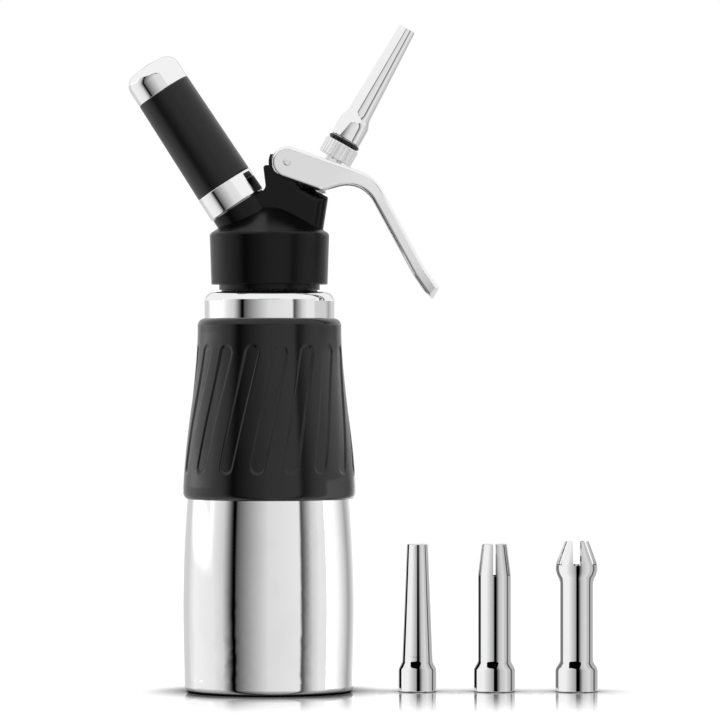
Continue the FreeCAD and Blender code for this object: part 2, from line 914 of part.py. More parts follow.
def inlet_seal():
    foot = needle_foot_height + needle_base + press_play
    return on_holder(
        turned(
            [
                (needle_radius + needle_play, foot, 0),
                (stub_neck_radius - inlet_seal_play, foot, small_edge),
                (stub_neck_radius - inlet_seal_play, foot + inlet_seal_thickness, small_edge),
                (needle_radius + needle_play, foot + inlet_seal_thickness, 0),
            ]
        )
    )


def check_valve():
    top = -stub_depth + check_valve_rim + fine_edge / 4
    rim_foot = top - check_valve_rim
    return on_holder(
        turned(
            [
                (check_valve_bore_radius, top, 0),
                (check_valve_radius, top, small_edge),
                (check_valve_radius, rim_foot, small_edge),
                (check_valve_waist_radius, rim_foot - edge_break, small_edge),
                (check_valve_lip_radius, top - check_valve_length, fine_edge),
                (check_valve_bore_radius, top - check_valve_length, 0),
            ]
        )
    )


def charger():
    top = charger_foot + charger_length
    neck_end = charger_foot + charger_neck_length
    shoulder_end = neck_end + charger_shoulder
    body = turned(
        [
            (0, charger_foot, 0),
            (charger_neck_radius, charger_foot, soft_edge),
            (charger_neck_radius, neck_end, charger_neck_corner),
            (charger_radius, shoulder_end, charger_shoulder_corner),
            (charger_radius, top, charger_end_corner),
            (0, top, 0),
        ]
    )
    inner_radius = charger_radius - charger_wall
    hollow = turned(
        [
            (0, neck_end, 0),
            (charger_throat_radius, neck_end, 0),
            (inner_radius, shoulder_end, charger_shoulder_corner - charger_wall),
            (inner_radius, top - charger_wall, charger_end_corner - charger_wall),
            (0, top - charger_wall, 0),
        ]
    )
    pierced = rod(needle_radius + needle_play, charger_foot - overrun, neck_end + charger_wall)
    return on_holder(body.cut([hollow, pierced]))


def holder_shell():
    """The holder's tube, with its lower ring, the recess for the grip and the domed end."""
    thread_end = stub_length + soft_edge
    bore = charger_radius + charger_play
    inner_top = holder_length - holder_end_wall
    shoulder = holder_length - cap_crown
    body = turned(
        [
            (stub_radius + thread_clearance, 0, edge_break),
            (ring_radius, 0, ring_edge),
            (ring_radius, ring_length, edge_break),
            (tube_radius, ring_length, 0),
            (tube_radius, cap_foot, 0),
            (cap_radius, cap_foot, small_edge),
            (cap_radius, shoulder, cap_corner),
            (0, holder_length, 0),
            (0, inner_top, 0),
            (bore, inner_top, cap_corner),
            (bore, thread_end, 0),
            (stub_radius + thread_clearance, thread_end, 0),
        ]
    )
    return on_holder(body)


def holder_grip():
    play = grip_fit
    return on_holder(
        turned(
            [
                (tube_radius + play, grip_foot + play, 0),
                (ring_radius - grip_step, grip_foot + play, edge_break),
                (grip_radius, cap_foot - play, edge_break),
                (tube_radius + play, cap_foot - play, 0),
            ]
        )
    )


# --- Spare decorating tips --------------------------------------------------
def tip_profile(base_radius_here, root_radius, height, upper):
    """Corners of a tip that stands on its socket: base, flare, then the upper (radius, height, rounding) corners."""
    flare_top = tip_base_length + tip_flare_length
    outer = [
        (base_radius_here, 0, edge_break),
        (base_radius_here, tip_base_length, tip_base_corner),
        (root_radius, flare_top, tip_flare_corner),
    ] + upper
    inner = [(r - tip_wall, z, rounding) for r, z, rounding in reversed(upper)]
    inner[0] = (inner[0][0], height, small_edge)
    root_inner = [
        (root_radius - tip_wall, flare_top + tip_wall, tip_throat_corner),
        (socket_radius, tip_base_length, 0),
        (socket_radius, 0, small_edge),
    ]
    return outer + inner + root_inner


def slit_cutters(depth, width, height):
    blades = []
    for i in range(slit_count):
        place = Vector(-width / 2, -height, height - depth)
        blade = Part.makeBox(width, height, depth + overrun, place)
        blade.rotate(Vector(0, 0, 0), Vector(0, 0, 1), 360 * i / slit_count)
        blades.append(blade)
    return blades


def stood_at(shape, x):
    shape = shape.copy()
    shape.translate(Vector(x, 0, 0))
    return shape


def tip_straight():
    upper = [(straight_mouth_radius, straight_tip_height, small_edge)]
    tip = turned(tip_profile(straight_base_radius, straight_root_radius, straight_tip_height, upper))
    return stood_at(tip, straight_tip_x)


def tip_star():
    crown = star_tip_height - star_slit_depth
    upper = [
        (star_tube_radius, crown, star_shoulder_corner),
        (star_mouth_radius, star_tip_height, small_edge),
    ]
    tip = turned(tip_profile(star_base_radius, star_tube_radius, star_tip_height, upper))
    return stood_at(tip.cut(slit_cutters(star_slit_depth, star_slit_width, star_tip_height)), star_tip_x)


def tip_tulip():
    upper = [
        (tulip_tube_radius, tulip_tip_height - tulip_neck_drop, tulip_neck_corner),
        (tulip_bulge_radius, tulip_tip_height - tulip_bulge_drop, tulip_bulge_corner),
        (tulip_mouth_radius, tulip_tip_height, small_edge),
    ]
    tip = turned(tip_profile(tulip_base_radius, tulip_tube_radius, tulip_tip_height, upper))
    return stood_at(tip.cut(slit_cutters(tulip_slit_depth, tulip_slit_width, tulip_tip_height)), tulip_tip_x)


# --- Writing the pieces -----------------------------------------------------
on_the_head = [
    head_body,
    head_gasket,
    valve_bushing,
    stem_o_ring,
    valve_spring,
    valve_stem,
    valve_seal,
    valve_disc,
    nozzle_adaptor,
    nozzle_o_ring,
    nozzle,
    lever,
    lever_pin,
    inlet_stub,
    piercing_pin,
    inlet_seal,
    check_valve,
    charger,
    holder_shell,
    holder_grip,
]
on_the_floor = [bottle_shell, bottle_sleeve, tip_straight, tip_star, tip_tulip]

os.makedirs("parts", exist_ok=True)
for make in on_the_floor + on_the_head:
    shape = make()
    if make in on_the_head:
        shape = on_head(shape)
    solids = shape.Solids
    piece = solids[0] if len(solids) == 1 else Part.makeCompound(solids)
    piece.exportStep("parts/" + make.__name__ + ".step")
    box = piece.BoundBox
    print(
        f"{make.__name__:16s} solids {len(solids)} valid {piece.isValid()} volume {piece.Volume:9.1f}"
        f"  x {box.XMin:7.2f} {box.XMax:7.2f}  y {box.YMin:7.2f} {box.YMax:7.2f}  z {box.ZMin:7.2f} {box.ZMax:7.2f}"
    )
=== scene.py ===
import math

import bmesh
import bpy
from mathutils import Matrix, Vector


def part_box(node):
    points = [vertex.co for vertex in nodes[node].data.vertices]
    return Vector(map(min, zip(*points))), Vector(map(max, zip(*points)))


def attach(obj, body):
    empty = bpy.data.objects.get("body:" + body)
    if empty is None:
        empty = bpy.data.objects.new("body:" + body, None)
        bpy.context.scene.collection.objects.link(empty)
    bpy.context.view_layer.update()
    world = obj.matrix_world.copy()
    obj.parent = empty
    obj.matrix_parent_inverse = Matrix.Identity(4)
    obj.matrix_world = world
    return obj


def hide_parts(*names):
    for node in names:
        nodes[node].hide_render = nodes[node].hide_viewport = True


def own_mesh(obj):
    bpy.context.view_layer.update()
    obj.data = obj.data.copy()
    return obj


# Whipped cream dispenser: a steel bottle in a black silicone sleeve, a black head with a squeeze lever,
# a leaning charger holder and a nozzle, and three spare decorating tips that stand beside it.
# The base of the bottle is at the origin, the lever reaches towards +X, and all sizes are in metres.

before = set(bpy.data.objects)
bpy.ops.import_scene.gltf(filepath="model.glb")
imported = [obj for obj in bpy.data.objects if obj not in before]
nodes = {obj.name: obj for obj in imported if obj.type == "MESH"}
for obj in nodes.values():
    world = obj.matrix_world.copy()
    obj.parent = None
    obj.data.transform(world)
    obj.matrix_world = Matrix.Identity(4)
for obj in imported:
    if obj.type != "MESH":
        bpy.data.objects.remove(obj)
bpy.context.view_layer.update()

# --- Camera and studio ----------------------------------------------------------------------------
# A long lens a little over two metres in front of the bottle, level with the upper part of its sleeve.
# It stands straight in front, so that the lever and the holder show in plain side view.
camera_data = bpy.data.cameras.new("camera")
camera_data.lens = 250.0
camera_data.sensor_width = 36.0
camera = bpy.data.objects.new("camera", camera_data)
camera.location = (0.0421, -2.3255, 0.1542)
camera.rotation_euler = (math.radians(90), 0, 0)
bpy.context.scene.collection.objects.link(camera)
bpy.context.scene.camera = camera
bpy.context.scene.view_settings.view_transform = "Standard"


class Tap:
    """A socket in a node tree. Arithmetic on it adds Math nodes, and node() adds any other node."""

    def __init__(self, tree, socket=None):
        self.tree = tree
        self.socket = socket

    def node(self, kind, settings=None, values=None, output=0):
        made = self.tree.nodes.new("ShaderNode" + kind)
        for name, value in (settings or {}).items():
            if name == "points":
                self.set_points(made, value)
            else:
                setattr(made, name, value)
        for name, value in (values or {}).items():
            if isinstance(value, Tap):
                self.tree.links.new(value.socket, made.inputs[name])
            else:
                made.inputs[name].default_value = value
        return Tap(self.tree, made.outputs[output] if len(made.outputs) else None)

    def set_points(self, made, points):
        made.mapping.use_clip = False
        line = made.mapping.curves[0]
        for i, place in enumerate(points):
            point = line.points[i] if i < 2 else line.points.new(*place)
            point.location = place
            point.handle_type = "VECTOR"
        made.mapping.update()

    def maths(self, operation, *values):
        return self.node("Math", {"operation": operation}, dict(enumerate((self,) + values)))

    def __add__(self, other):
        return self.maths("ADD", other)

    def __radd__(self, other):
        return self.maths("ADD", other)

    def __sub__(self, other):
        return self.maths("SUBTRACT", other)

    def __rsub__(self, other):
        return self.node("Math", {"operation": "SUBTRACT"}, {0: other, 1: self})

    def __mul__(self, other):
        return self.maths("MULTIPLY", other)

    def __rmul__(self, other):
        return self.maths("MULTIPLY", other)

    def __truediv__(self, other):
        return self.maths("DIVIDE", other)

    def __pow__(self, other):
        return self.maths("POWER", other)


def split(vector, count):
    """The first two or all three parts of a vector."""
    return [vector.node("SeparateXYZ", None, {0: vector}, i) for i in range(count)]


def ramp(share, low, high):
    """0 at low, 1 at high and smooth between, whichever of the two is the larger."""
    return share.node("MapRange", {"interpolation_type": "SMOOTHSTEP"}, {0: share, 1: low, 2: high})


def curve(share, points):
    """Straight lines through the points, read at share."""
    return share.node("FloatCurve", {"points": points}, {"Value": share})


def by_bearing(bearing, cards):
    """The tone of a ring of cards at a bearing counted as 0 to 1 all the way round."""
    return curve(bearing, [(degrees / 360 + 0.5, tone) for degrees, tone in cards])


# The room is a grey one with a white card, a black one and pale ones round its sides, which draw the long
# bands on the steel. The tone runs evenly from each bearing in the list to the next. Bearings are in degrees
# from the camera's side, positive towards the lever. The room is white overhead and behind the pieces, apart
# from a grey far wall that stands above a low white strip. A dim ledge hangs over the camera, and a lamp on
# the left doubles the light of the card there. The camera itself sees a plain white backdrop.
wall, front_wall, dim_wall = 0.7, 0.8, 0.4
white_card, pale_card, black_card, dark_edge = 1.0, 0.9, 0.0, 0.1
cards = [
    (-180, wall), (-140, wall), (-120, white_card), (-80, pale_card), (-65, wall), (-53, dark_edge),
    (-50, black_card), (-46, black_card), (-44, dark_edge), (0, front_wall), (42, pale_card),
    (45, dark_edge), (47, dark_edge), (62, wall), (72, pale_card), (88, pale_card), (90, wall), (120, wall),
    (131, dim_wall), (145, wall), (180, wall),
]
room = bpy.data.worlds.new("studio")
bpy.context.scene.world = room
room.use_nodes = True
room.node_tree.nodes.clear()
studio = Tap(room.node_tree)
looking = studio.node("TexCoord")
east, north, up = split(looking, 3)
angle = east.maths("ARCTAN2", north * -1)
bearing = angle / (2 * math.pi) + 0.5
card = by_bearing(bearing, cards)

# These edges are heights in a direction of length 1, and the far wall's is how far back it points.
ceiling_edge = (0.29, 0.34)
far_wall_edge = (0.86, 0.93)
strip_foot, strip_top = 0.056, 0.089
ledge_foot, ledge_top = (0.28, 0.31), (0.35, 0.38)
ledge_reach = 0.35
ledge_dims = 0.8
lamp_foot = (-0.01, 0.03)
lamp_spread = [(-180, 0), (-140, 0), (-120, 1), (-100, 1), (-80, 0), (180, 0)]
at_back = north.maths("GREATER_THAN", 0.0)
behind = at_back * up.maths("GREATER_THAN", strip_foot)
strip = at_back * up.maths("COMPARE", (strip_foot + strip_top) / 2, (strip_top - strip_foot) / 2)
overhead = ramp(up, *ceiling_edge)
far_wall = ramp(north, *far_wall_edge)
white = (overhead.maths("MAXIMUM", behind) * (1 - far_wall)).maths("MAXIMUM", strip)
ledge = ramp(up, *ledge_foot) * (1 - ramp(up, *ledge_top)) * angle.maths("COMPARE", 0.0, ledge_reach)
lamp = ramp(up, *lamp_foot) * by_bearing(bearing, lamp_spread)
level = (card * (1 + lamp) * (1 - white) + white) * (1 - ledge * ledge_dims)
camera_ray = studio.node("LightPath", None, None, "Is Camera Ray")
glow = studio.node("Background", None, {"Color": level})
backdrop = studio.node("Background", None, {"Color": (1, 1, 1, 1)})
shown = studio.node("MixShader", None, {0: camera_ray, 1: glow, 2: backdrop})
studio.node("OutputWorld", None, {"Surface": shown})

# --- Floor ----------------------------------------------------------------------------------------
# A pale sheet of white acrylic under everything, matt at the back and a mirror in front of the pieces, where
# it shows them upside down for a little way. Close to their feet a painted shade, read from ambient
# occlusion, darkens its colour, glow and mirror. Polish looks through it to the room below, dimmed by that
# painted shade.
floor_side = 1.6
floor_centre = (0.1, 0.5, 0)
floor_tone = 0.86
floor_glow = 0.3
mirror_gloss = 0.85
mirror_middle = 0.08
mirror_sides = (0.2, 0.13)
mirror_back = (0.02, -0.03)
mirror_front = (-0.17, -0.02)
shade_reach = 0.022
shade_depth = 2.2
shade_black, shade_clear = 0.1, 0.6
floor_mesh = bpy.data.meshes.new("floor")
sheet = bmesh.new()
bmesh.ops.create_grid(sheet, x_segments=1, y_segments=1, size=0.5)
bmesh.ops.transform(sheet, matrix=Matrix.Diagonal((floor_side, floor_side, 1, 1)), verts=sheet.verts)
bmesh.ops.translate(sheet, vec=floor_centre, verts=sheet.verts)
sheet.to_mesh(floor_mesh)
sheet.free()
floor = bpy.data.objects.new("floor", floor_mesh)
bpy.context.scene.collection.objects.link(floor)
acrylic = bpy.data.materials.new("acrylic_floor")
acrylic.use_nodes = True
acrylic.node_tree.nodes.clear()
ground = Tap(acrylic.node_tree)
place = ground.node("TexCoord", None, None, "Object")
across, depth = split(place, 2)
beside = ramp((across - mirror_middle).maths("ABSOLUTE"), *mirror_sides)
mirror = ramp(depth, *mirror_back)
fade = ramp(depth, *mirror_front)
seen = ground.node("LightPath", None, None, "Is Camera Ray")
polish_sees = ground.node("LightPath", None, None, "Is Glossy Ray")
near_feet = {"Color": (1, 1, 1, 1), "Distance": shade_reach}
# open_sky is the painted shade: ambient occlusion, raised to shade_depth, darkens the floor's colour, glow
# and mirror near the feet, and tints what polish sees through it.
open_sky = ground.node("AmbientOcclusion", {"samples": 8}, near_feet, "AO") ** shade_depth
matt = ground.node("BsdfDiffuse", None, {"Color": open_sky * floor_tone})
pale = ground.node("Emission", None, {"Color": (1, 1, 1, 1), "Strength": seen * open_sky * floor_glow})
matt = ground.node("AddShader", None, {0: matt, 1: pale})
gloss = ground.node("BsdfAnisotropic", None, {"Color": open_sky ** 0.5, "Roughness": 0.02})
share = mirror * fade * beside * seen * mirror_gloss
surface = ground.node("MixShader", None, {0: share, 1: matt, 2: gloss})
in_the_open = open_sky.node("MapRange", None, {0: open_sky, 1: shade_black, 2: shade_clear})
clear = ground.node("BsdfTransparent", None, {"Color": in_the_open})
surface = ground.node("MixShader", None, {0: polish_sees, 1: surface, 2: clear})
ground.node("OutputMaterial", None, {"Surface": surface})
floor_mesh.materials.append(acrylic)

# --- Bottle ---------------------------------------------------------------------------------------
# Stainless steel, deep drawn, spun to its waist and shoulder, and mirror polished on a lathe.
# The polish leaves very fine rings round it and a few soft cloudy wipes.


def finish(name, metallic, **constants):
    """A new material, its shader with what is the same all over, and the places on the piece."""
    material = bpy.data.materials.new(name)
    material.use_nodes = True
    material.node_tree.nodes.clear()
    tap = Tap(material.node_tree)
    shader = tap.node("BsdfPrincipled", None, {"Metallic": metallic, **constants})
    tap.node("OutputMaterial", None, {"Surface": shader})
    return material, shader, tap.node("TexCoord", None, None, "Object")


def feed(shader, **sources):
    """Links what varies over the surface to the shader's sockets, named with _ for a space."""
    for name, source in sources.items():
        source.tree.links.new(source.socket, shader.socket.node.inputs[name.replace("_", " ")])


def shade(low, high, share):
    """A colour that runs from low to high as share goes from 0 to 1. Mix has its colours at 6 and 7."""
    return share.node("Mix", {"data_type": "RGBA"}, {0: share, 6: low + (1,), 7: high + (1,)}, 2)


def grain(where, scale, detail=2.0, finer=(1, 1, 1)):
    """Noise of about 1 / scale metres, and finer still along each axis by the three factors."""
    where = where.node("Mapping", None, {"Vector": where, "Scale": finer})
    return where.node("TexNoise", None, {"Vector": where, "Scale": scale, "Detail": detail})


def relief(height, depth, strength):
    """A normal for a skin that is depth metres rough."""
    return height.node("Bump", None, {"Strength": strength, "Distance": depth, "Height": height})


def dress(names, material):
    """Gives CAD nodes their finish."""
    for name in names:
        slots = nodes[name].data.materials
        for i in range(len(slots)):
            slots[i] = material


mirror_steel, shader, where = finish("mirror_steel", 1.0)
rings = grain(where, 1.0, 3.0, (5, 5, 2400))
wipes = ramp(grain(where, 30.0, 5.0), 0.5, 0.72)
feed(shader, Base_Color=shade((0.875, 0.875, 0.88), (0.845, 0.845, 0.85), wipes))
feed(shader, Roughness=0.035 + rings * 0.02 + wipes * 0.02)
feed(shader, Normal=relief(rings, 0.000001, 0.2))
dress(["bottle_shell"], mirror_steel)

# --- Silicone sleeve ------------------------------------------------------------------------------
# Moulded in black silicone and pulled over the waist. Sixteen slanted grooves stand round it, with soft
# round ends and edges. Its skin has a low gloss, the mould's fine grain and soft rubbed patches.
sleeve_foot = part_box("bottle_sleeve")[0].z
sleeve_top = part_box("bottle_sleeve")[1].z
foot_corner = 0.0032
foot_corner_start = math.radians(15)
top_corner = 0.0034
waist_radius = 0.037
clear_outside = 0.06
sleeve_top_bore = 0.0303
groove_count = 16
groove_width = 0.006
groove_length = 0.06
groove_depth = 0.0006
groove_edge = 0.0005
groove_tilt = math.radians(11.3)
groove_phase = math.radians(0.7)
groove_centre = sleeve_foot + 0.0421
corner_rows = 8
side_rows = 134
columns = 24 * groove_count
bunched_at = 0.375
evenly = 0.35
sleeve_mesh = bpy.data.meshes.new("sleeve_skin")
sleeve = bmesh.new()
bmesh.ops.create_cone(sleeve, segments=columns, radius1=1, radius2=1, depth=1, cap_ends=False)
uprights = [edge for edge in sleeve.edges if abs(edge.verts[0].co.z - edge.verts[1].co.z) > 0.5]
bmesh.ops.subdivide_edges(sleeve, edges=uprights, cuts=side_rows + 2 * corner_rows)
moulded = nodes["bottle_sleeve"]


def plain_skin(height):
    """Radius of the sleeve's skin at a height, felt from outside midway between two grooves."""
    slant = math.tan(groove_tilt) * (height - groove_centre) / waist_radius
    bearing = groove_phase + math.pi / groove_count + slant
    outward = Vector((math.sin(bearing), -math.cos(bearing), 0))
    spot = moulded.ray_cast(outward * clear_outside + Vector((0, 0, height)), -outward)[1]
    return math.hypot(spot.x, spot.y)


def sleeve_row(row):
    """Radius and height of one row of the skin, from the foot's corner to the top's inner edge."""
    side_foot = sleeve_foot + foot_corner
    side_top = sleeve_top - top_corner
    if row <= corner_rows:
        turn = foot_corner_start + (math.pi / 2 - foot_corner_start) * row / corner_rows
        radius = plain_skin(side_foot) - foot_corner * (1 - math.sin(turn))
        return radius, side_foot - foot_corner * math.cos(turn)
    row -= corner_rows
    if row <= side_rows:
        height = side_foot + (side_top - side_foot) * row / side_rows
        return plain_skin(height), height
    row -= side_rows
    if row <= corner_rows:
        turn = math.pi / 2 * row / corner_rows
        radius = plain_skin(side_top) - top_corner * (1 - math.cos(turn))
        return radius, side_top + top_corner * math.sin(turn)
    return sleeve_top_bore, sleeve_top


# Each groove has an equal share of the upright columns of points, which bunch near its two edges, at
# bunched_at of the half pitch from its middle. The nearer evenly is to 1, the less they bunch.
bpy.context.view_layer.update()
last_row = side_rows + 2 * corner_rows + 1
rows = [sleeve_row(row) for row in range(last_row + 1)]
for vert in sleeve.verts:
    radius, height = rows[round((vert.co.z + 0.5) * last_row)]
    around = math.atan2(vert.co.x, -vert.co.y) * groove_count / (2 * math.pi)
    pitch = 2 * math.pi * radius / groove_count
    share = around - math.floor(around + 0.5)
    near = 2 * abs(share)
    bunch = (near - 0.5) * 2
    reach = bunched_at if bunch < 0 else 1 - bunched_at
    spread = bunched_at + reach * (evenly * bunch + (1 - evenly) * bunch ** 3)
    aside = math.copysign(spread * pitch / 2, share)
    tilted = height - groove_centre
    middle = groove_phase + 2 * math.pi * math.floor(around + 0.5) / groove_count
    angle = middle + math.asin(max(-1, min(1, (aside + math.tan(groove_tilt) * tilted) / radius)))
    across = aside * math.cos(groove_tilt)
    along = tilted / math.cos(groove_tilt) + aside * math.sin(groove_tilt)
    past_end = max(abs(along) - (groove_length - groove_width) / 2, 0)
    inside = (groove_width + groove_edge) / 2 - math.hypot(across, past_end)
    share_down = max(0.0, min(1.0, inside / groove_edge))
    radius -= groove_depth * share_down * share_down * (3 - 2 * share_down)
    vert.co = (radius * math.sin(angle), -radius * math.cos(angle), height)
rims = [edge for edge in sleeve.edges if edge.is_boundary]
bmesh.ops.bridge_loops(sleeve, edges=rims)
for edge in rims:
    edge.smooth = False
bmesh.ops.recalc_face_normals(sleeve, faces=sleeve.faces)
for face in sleeve.faces:
    face.smooth = True
sleeve.to_mesh(sleeve_mesh)
sleeve.free()
sleeve_skin = bpy.data.objects.new("sleeve_skin", sleeve_mesh)
bpy.context.scene.collection.objects.link(sleeve_skin)
silicone, shader, where = finish("black_silicone", 0.0, IOR=1.47)
skin = grain(where, 2600.0)
rub = grain(where, 26.0, 5.0)
feed(shader, Base_Color=shade((0.0012, 0.0012, 0.0013), (0.0028, 0.0028, 0.003), rub))
feed(shader, Roughness=0.13 + rub * 0.04 + skin * 0.03)
feed(shader, Normal=relief(skin, 0.00002, 0.3))
sleeve_mesh.materials.append(silicone)
dress(["bottle_sleeve"], silicone)
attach(sleeve_skin, "bottle")
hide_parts("bottle_sleeve")

# --- Head -----------------------------------------------------------------------------------------
# Cast aluminium, machined on its faces and bores, and coated satin black all over.
# The coating has a fine orange peel, and its tone and gloss drift a little from place to place.
coating, shader, where = finish("satin_black_coating", 0.0, IOR=1.3)
peel = grain(where, 1500.0)
drift = grain(where, 40.0, 4.0)
feed(shader, Base_Color=shade((0.0002, 0.0002, 0.0002), (0.0008, 0.0008, 0.0009), drift))
feed(shader, Roughness=0.23 + drift * 0.04)
feed(shader, Normal=relief(peel, 0.00002, 0.3))
dress(["head_body"], coating)

# --- Seals ----------------------------------------------------------------------------------------
# Moulded black rubber: the gasket on the bottle's mouth, the rings of the stem and nozzle, the valve's
# seal, the charger's seal and the duckbill valve. Rubber is smooth, with a faint grey bloom.
seal_rubber, shader, where = finish("seal_rubber", 0.0, IOR=1.4)
bloom = ramp(grain(where, 420.0, 4.0), 0.45, 0.75)
feed(shader, Base_Color=shade((0.002, 0.002, 0.002), (0.007, 0.007, 0.007), bloom))
feed(shader, Roughness=0.18 + bloom * 0.12)
feed(shader, Normal=relief(bloom, 0.000004, 0.2))
dress(["head_gasket", "stem_o_ring", "valve_seal", "nozzle_o_ring", "inlet_seal", "check_valve"], seal_rubber)

# --- Lever ----------------------------------------------------------------------------------------
# Die cast aluminium, an inverted channel with two cheeks, tumbled to a soft satin and left bare.
# The gloss keeps a fine cast grain, and the tone changes slowly where the metal flowed.
casting, shader, where = finish("satin_cast_aluminium", 1.0)
cast = grain(where, 1700.0, 3.0)
flow = grain(where, 60.0, 4.0)
feed(shader, Base_Color=shade((0.86, 0.86, 0.865), (0.9, 0.9, 0.902), flow))
feed(shader, Roughness=0.12 + flow * 0.04 + cast * 0.02)
dress(["lever"], casting)

# --- Lever pin ------------------------------------------------------------------------------------
# A ground steel dowel, pressed through the head's ear. The lever's cheeks turn on its ends, and the grinding
# wheel leaves fine rings round it.
pin_steel, shader, where = finish("ground_pin_steel", 1.0)
ground_lines = grain(where, 1.0, 3.0, (700, 4000, 700))
feed(shader, Base_Color=shade((0.78, 0.78, 0.79), (0.86, 0.86, 0.87), ground_lines))
feed(shader, Roughness=0.1 + ground_lines * 0.08)
feed(shader, Normal=relief(ground_lines, 0.000004, 0.4))
dress(["lever_pin"], pin_steel)

# --- Valve stem and inlet parts -------------------------------------------------------------------
# Turned stainless steel: the hollow stem with its flange, the disc that holds the seal, the threaded
# stub for the holder and the needle that pierces the charger. The tool leaves it finely marked.
turned_steel, shader, where = finish("turned_stainless", 1.0)
tool_lines = grain(where, 1400.0, 3.0)
feed(shader, Base_Color=shade((0.66, 0.66, 0.68), (0.78, 0.78, 0.79), tool_lines))
feed(shader, Roughness=0.16 + tool_lines * 0.12)
feed(shader, Normal=relief(tool_lines, 0.000006, 0.4))
dress(["valve_stem", "valve_disc", "inlet_stub", "piercing_pin"], turned_steel)

# --- Bushing --------------------------------------------------------------------------------------
# Turned brass, pressed into the head to guide the stem, and tarnished in small patches.
brass, shader, where = finish("turned_brass", 1.0)
tarnish = ramp(grain(where, 260.0, 4.0), 0.4, 0.7)
feed(shader, Base_Color=shade((0.80, 0.60, 0.30), (0.62, 0.44, 0.20), tarnish))
feed(shader, Roughness=0.18 + tarnish * 0.18)
dress(["valve_bushing"], brass)

# --- Valve spring ---------------------------------------------------------------------------------
# Round drawn wire, wound in seven turns round the stem between the bushing and the flange.
# On the real head it shortens a little as the lever is squeezed; this coil keeps one length.
valve_slope = math.radians(60.7)
valve_axis = Vector((math.cos(valve_slope), 0, math.sin(valve_slope)))
valve_face = Vector((0.0219, 0, 0.2328))
coil_radius = 0.00385
wire_radius = 0.00045
coil_turns = 7
coil_steps = 24 * coil_turns
coil_depth = 0.00476
coil_foot = valve_face - valve_axis * coil_depth
coil_rise = 0.01401
wire_mesh = bpy.data.meshes.new("spring_coil")
wire = bmesh.new()
bmesh.ops.create_circle(wire, segments=12, radius=wire_radius)
bmesh.ops.rotate(wire, cent=(0, 0, 0), matrix=Matrix.Rotation(math.pi / 2, 3, "X"), verts=wire.verts)
bmesh.ops.translate(wire, vec=(coil_radius, 0, 0), verts=wire.verts)
section = wire.verts[:] + wire.edges[:]
lift = (0, 0, coil_rise / coil_steps)
bmesh.ops.spin(
    wire, geom=section, axis=(0, 0, 1), dvec=lift, angle=2 * math.pi * coil_turns, steps=coil_steps)
bmesh.ops.holes_fill(wire, edges=[edge for edge in wire.edges if edge.is_boundary])
bmesh.ops.recalc_face_normals(wire, faces=wire.faces)
for face in wire.faces:
    face.smooth = True
lean = Matrix.Rotation(math.pi / 2 - valve_slope, 4, "Y")
bmesh.ops.transform(wire, matrix=Matrix.Translation(coil_foot) @ lean, verts=wire.verts)
wire.to_mesh(wire_mesh)
wire.free()
spring_coil = bpy.data.objects.new("spring_coil", wire_mesh)
bpy.context.scene.collection.objects.link(spring_coil)
spring_wire, shader, where = finish("drawn_spring_wire", 1.0)
drawn = grain(where, 1800.0)
feed(shader, Base_Color=shade((0.58, 0.58, 0.6), (0.7, 0.7, 0.72), drawn))
feed(shader, Roughness=0.2 + drawn * 0.15)
wire_mesh.materials.append(spring_wire)
dress(["valve_spring"], spring_wire)
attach(spring_coil, "head")
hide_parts("valve_spring")
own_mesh(spring_coil)

# --- Knurled nut ----------------------------------------------------------------------------------
# Turned and knurled brass with a satin nickel plate: it screws on the stem and carries the nozzle.
nickel, shader, where = finish("satin_nickel_plate", 1.0)
plate = grain(where, 900.0, 3.0)
feed(shader, Base_Color=shade((0.84, 0.84, 0.84), (0.9, 0.9, 0.9), plate))
feed(shader, Roughness=0.14 + plate * 0.1)
dress(["nozzle_adaptor"], nickel)

# --- Nozzle and spare tips ------------------------------------------------------------------------
# Turned from steel bar and polished: the nozzle on the head, and a straight, a star and a tulip tip.
# They share one finish, a mirror with faint marks of the tool and of washing.
polished_tips, shader, where = finish("polished_tips", 1.0)
marks = grain(where, 500.0, 4.0)
feed(shader, Base_Color=shade((0.88, 0.88, 0.885), (0.85, 0.85, 0.855), marks))
feed(shader, Roughness=0.03 + marks * 0.025)
feed(shader, Normal=relief(marks, 0.000003, 0.3))
dress(["nozzle", "tip_straight", "tip_star", "tip_tulip"], polished_tips)

# --- Nozzle's outside -----------------------------------------------------------------------------
# The nozzle is turned with a long foot over its thread, a rounded flare and a slow taper to the mouth.
# A corner of its outline is a radius, a height along the valve's axis and how far the rounding cuts back.
nozzle_foot = 0.0274
nozzle_flare = nozzle_foot + 0.0089
nozzle_root = nozzle_flare + 0.0034
nozzle_mouth = nozzle_foot + 0.059
nozzle_outline = [
    (0.0053, nozzle_foot, 0.0003), (0.0072, nozzle_foot, 0.0005), (0.0072, nozzle_flare, 0.0012),
    (0.00565, nozzle_root, 0.0014), (0.00395, nozzle_mouth, 0.0003), (0.00295, nozzle_mouth, 0.0003),
    (0.0041, nozzle_foot + 0.0106, 0), (0.0053, nozzle_foot + 0.0086, 0),
]
turning = bmesh.new()
corners = [turning.verts.new((radius, 0, height)) for radius, height, cut in nozzle_outline]
for i, corner in enumerate(corners):
    turning.edges.new((corners[i - 1], corner))
for corner, (radius, height, cut) in zip(corners, nozzle_outline):
    if cut:
        bmesh.ops.bevel(
            turning, geom=[corner], offset=cut, segments=6, profile=0.5, affect="VERTICES", material=-1)
outline = turning.verts[:] + turning.edges[:]
bmesh.ops.spin(turning, geom=outline, axis=(0, 0, 1), angle=2 * math.pi, steps=96, use_merge=True)
bmesh.ops.remove_doubles(turning, verts=turning.verts, dist=0.000001)
bmesh.ops.recalc_face_normals(turning, faces=turning.faces)
for face in turning.faces:
    face.smooth = True
bmesh.ops.transform(turning, matrix=Matrix.Translation(valve_face) @ lean, verts=turning.verts)
nozzle_mesh = bpy.data.meshes.new("nozzle_skin")
turning.to_mesh(nozzle_mesh)
turning.free()
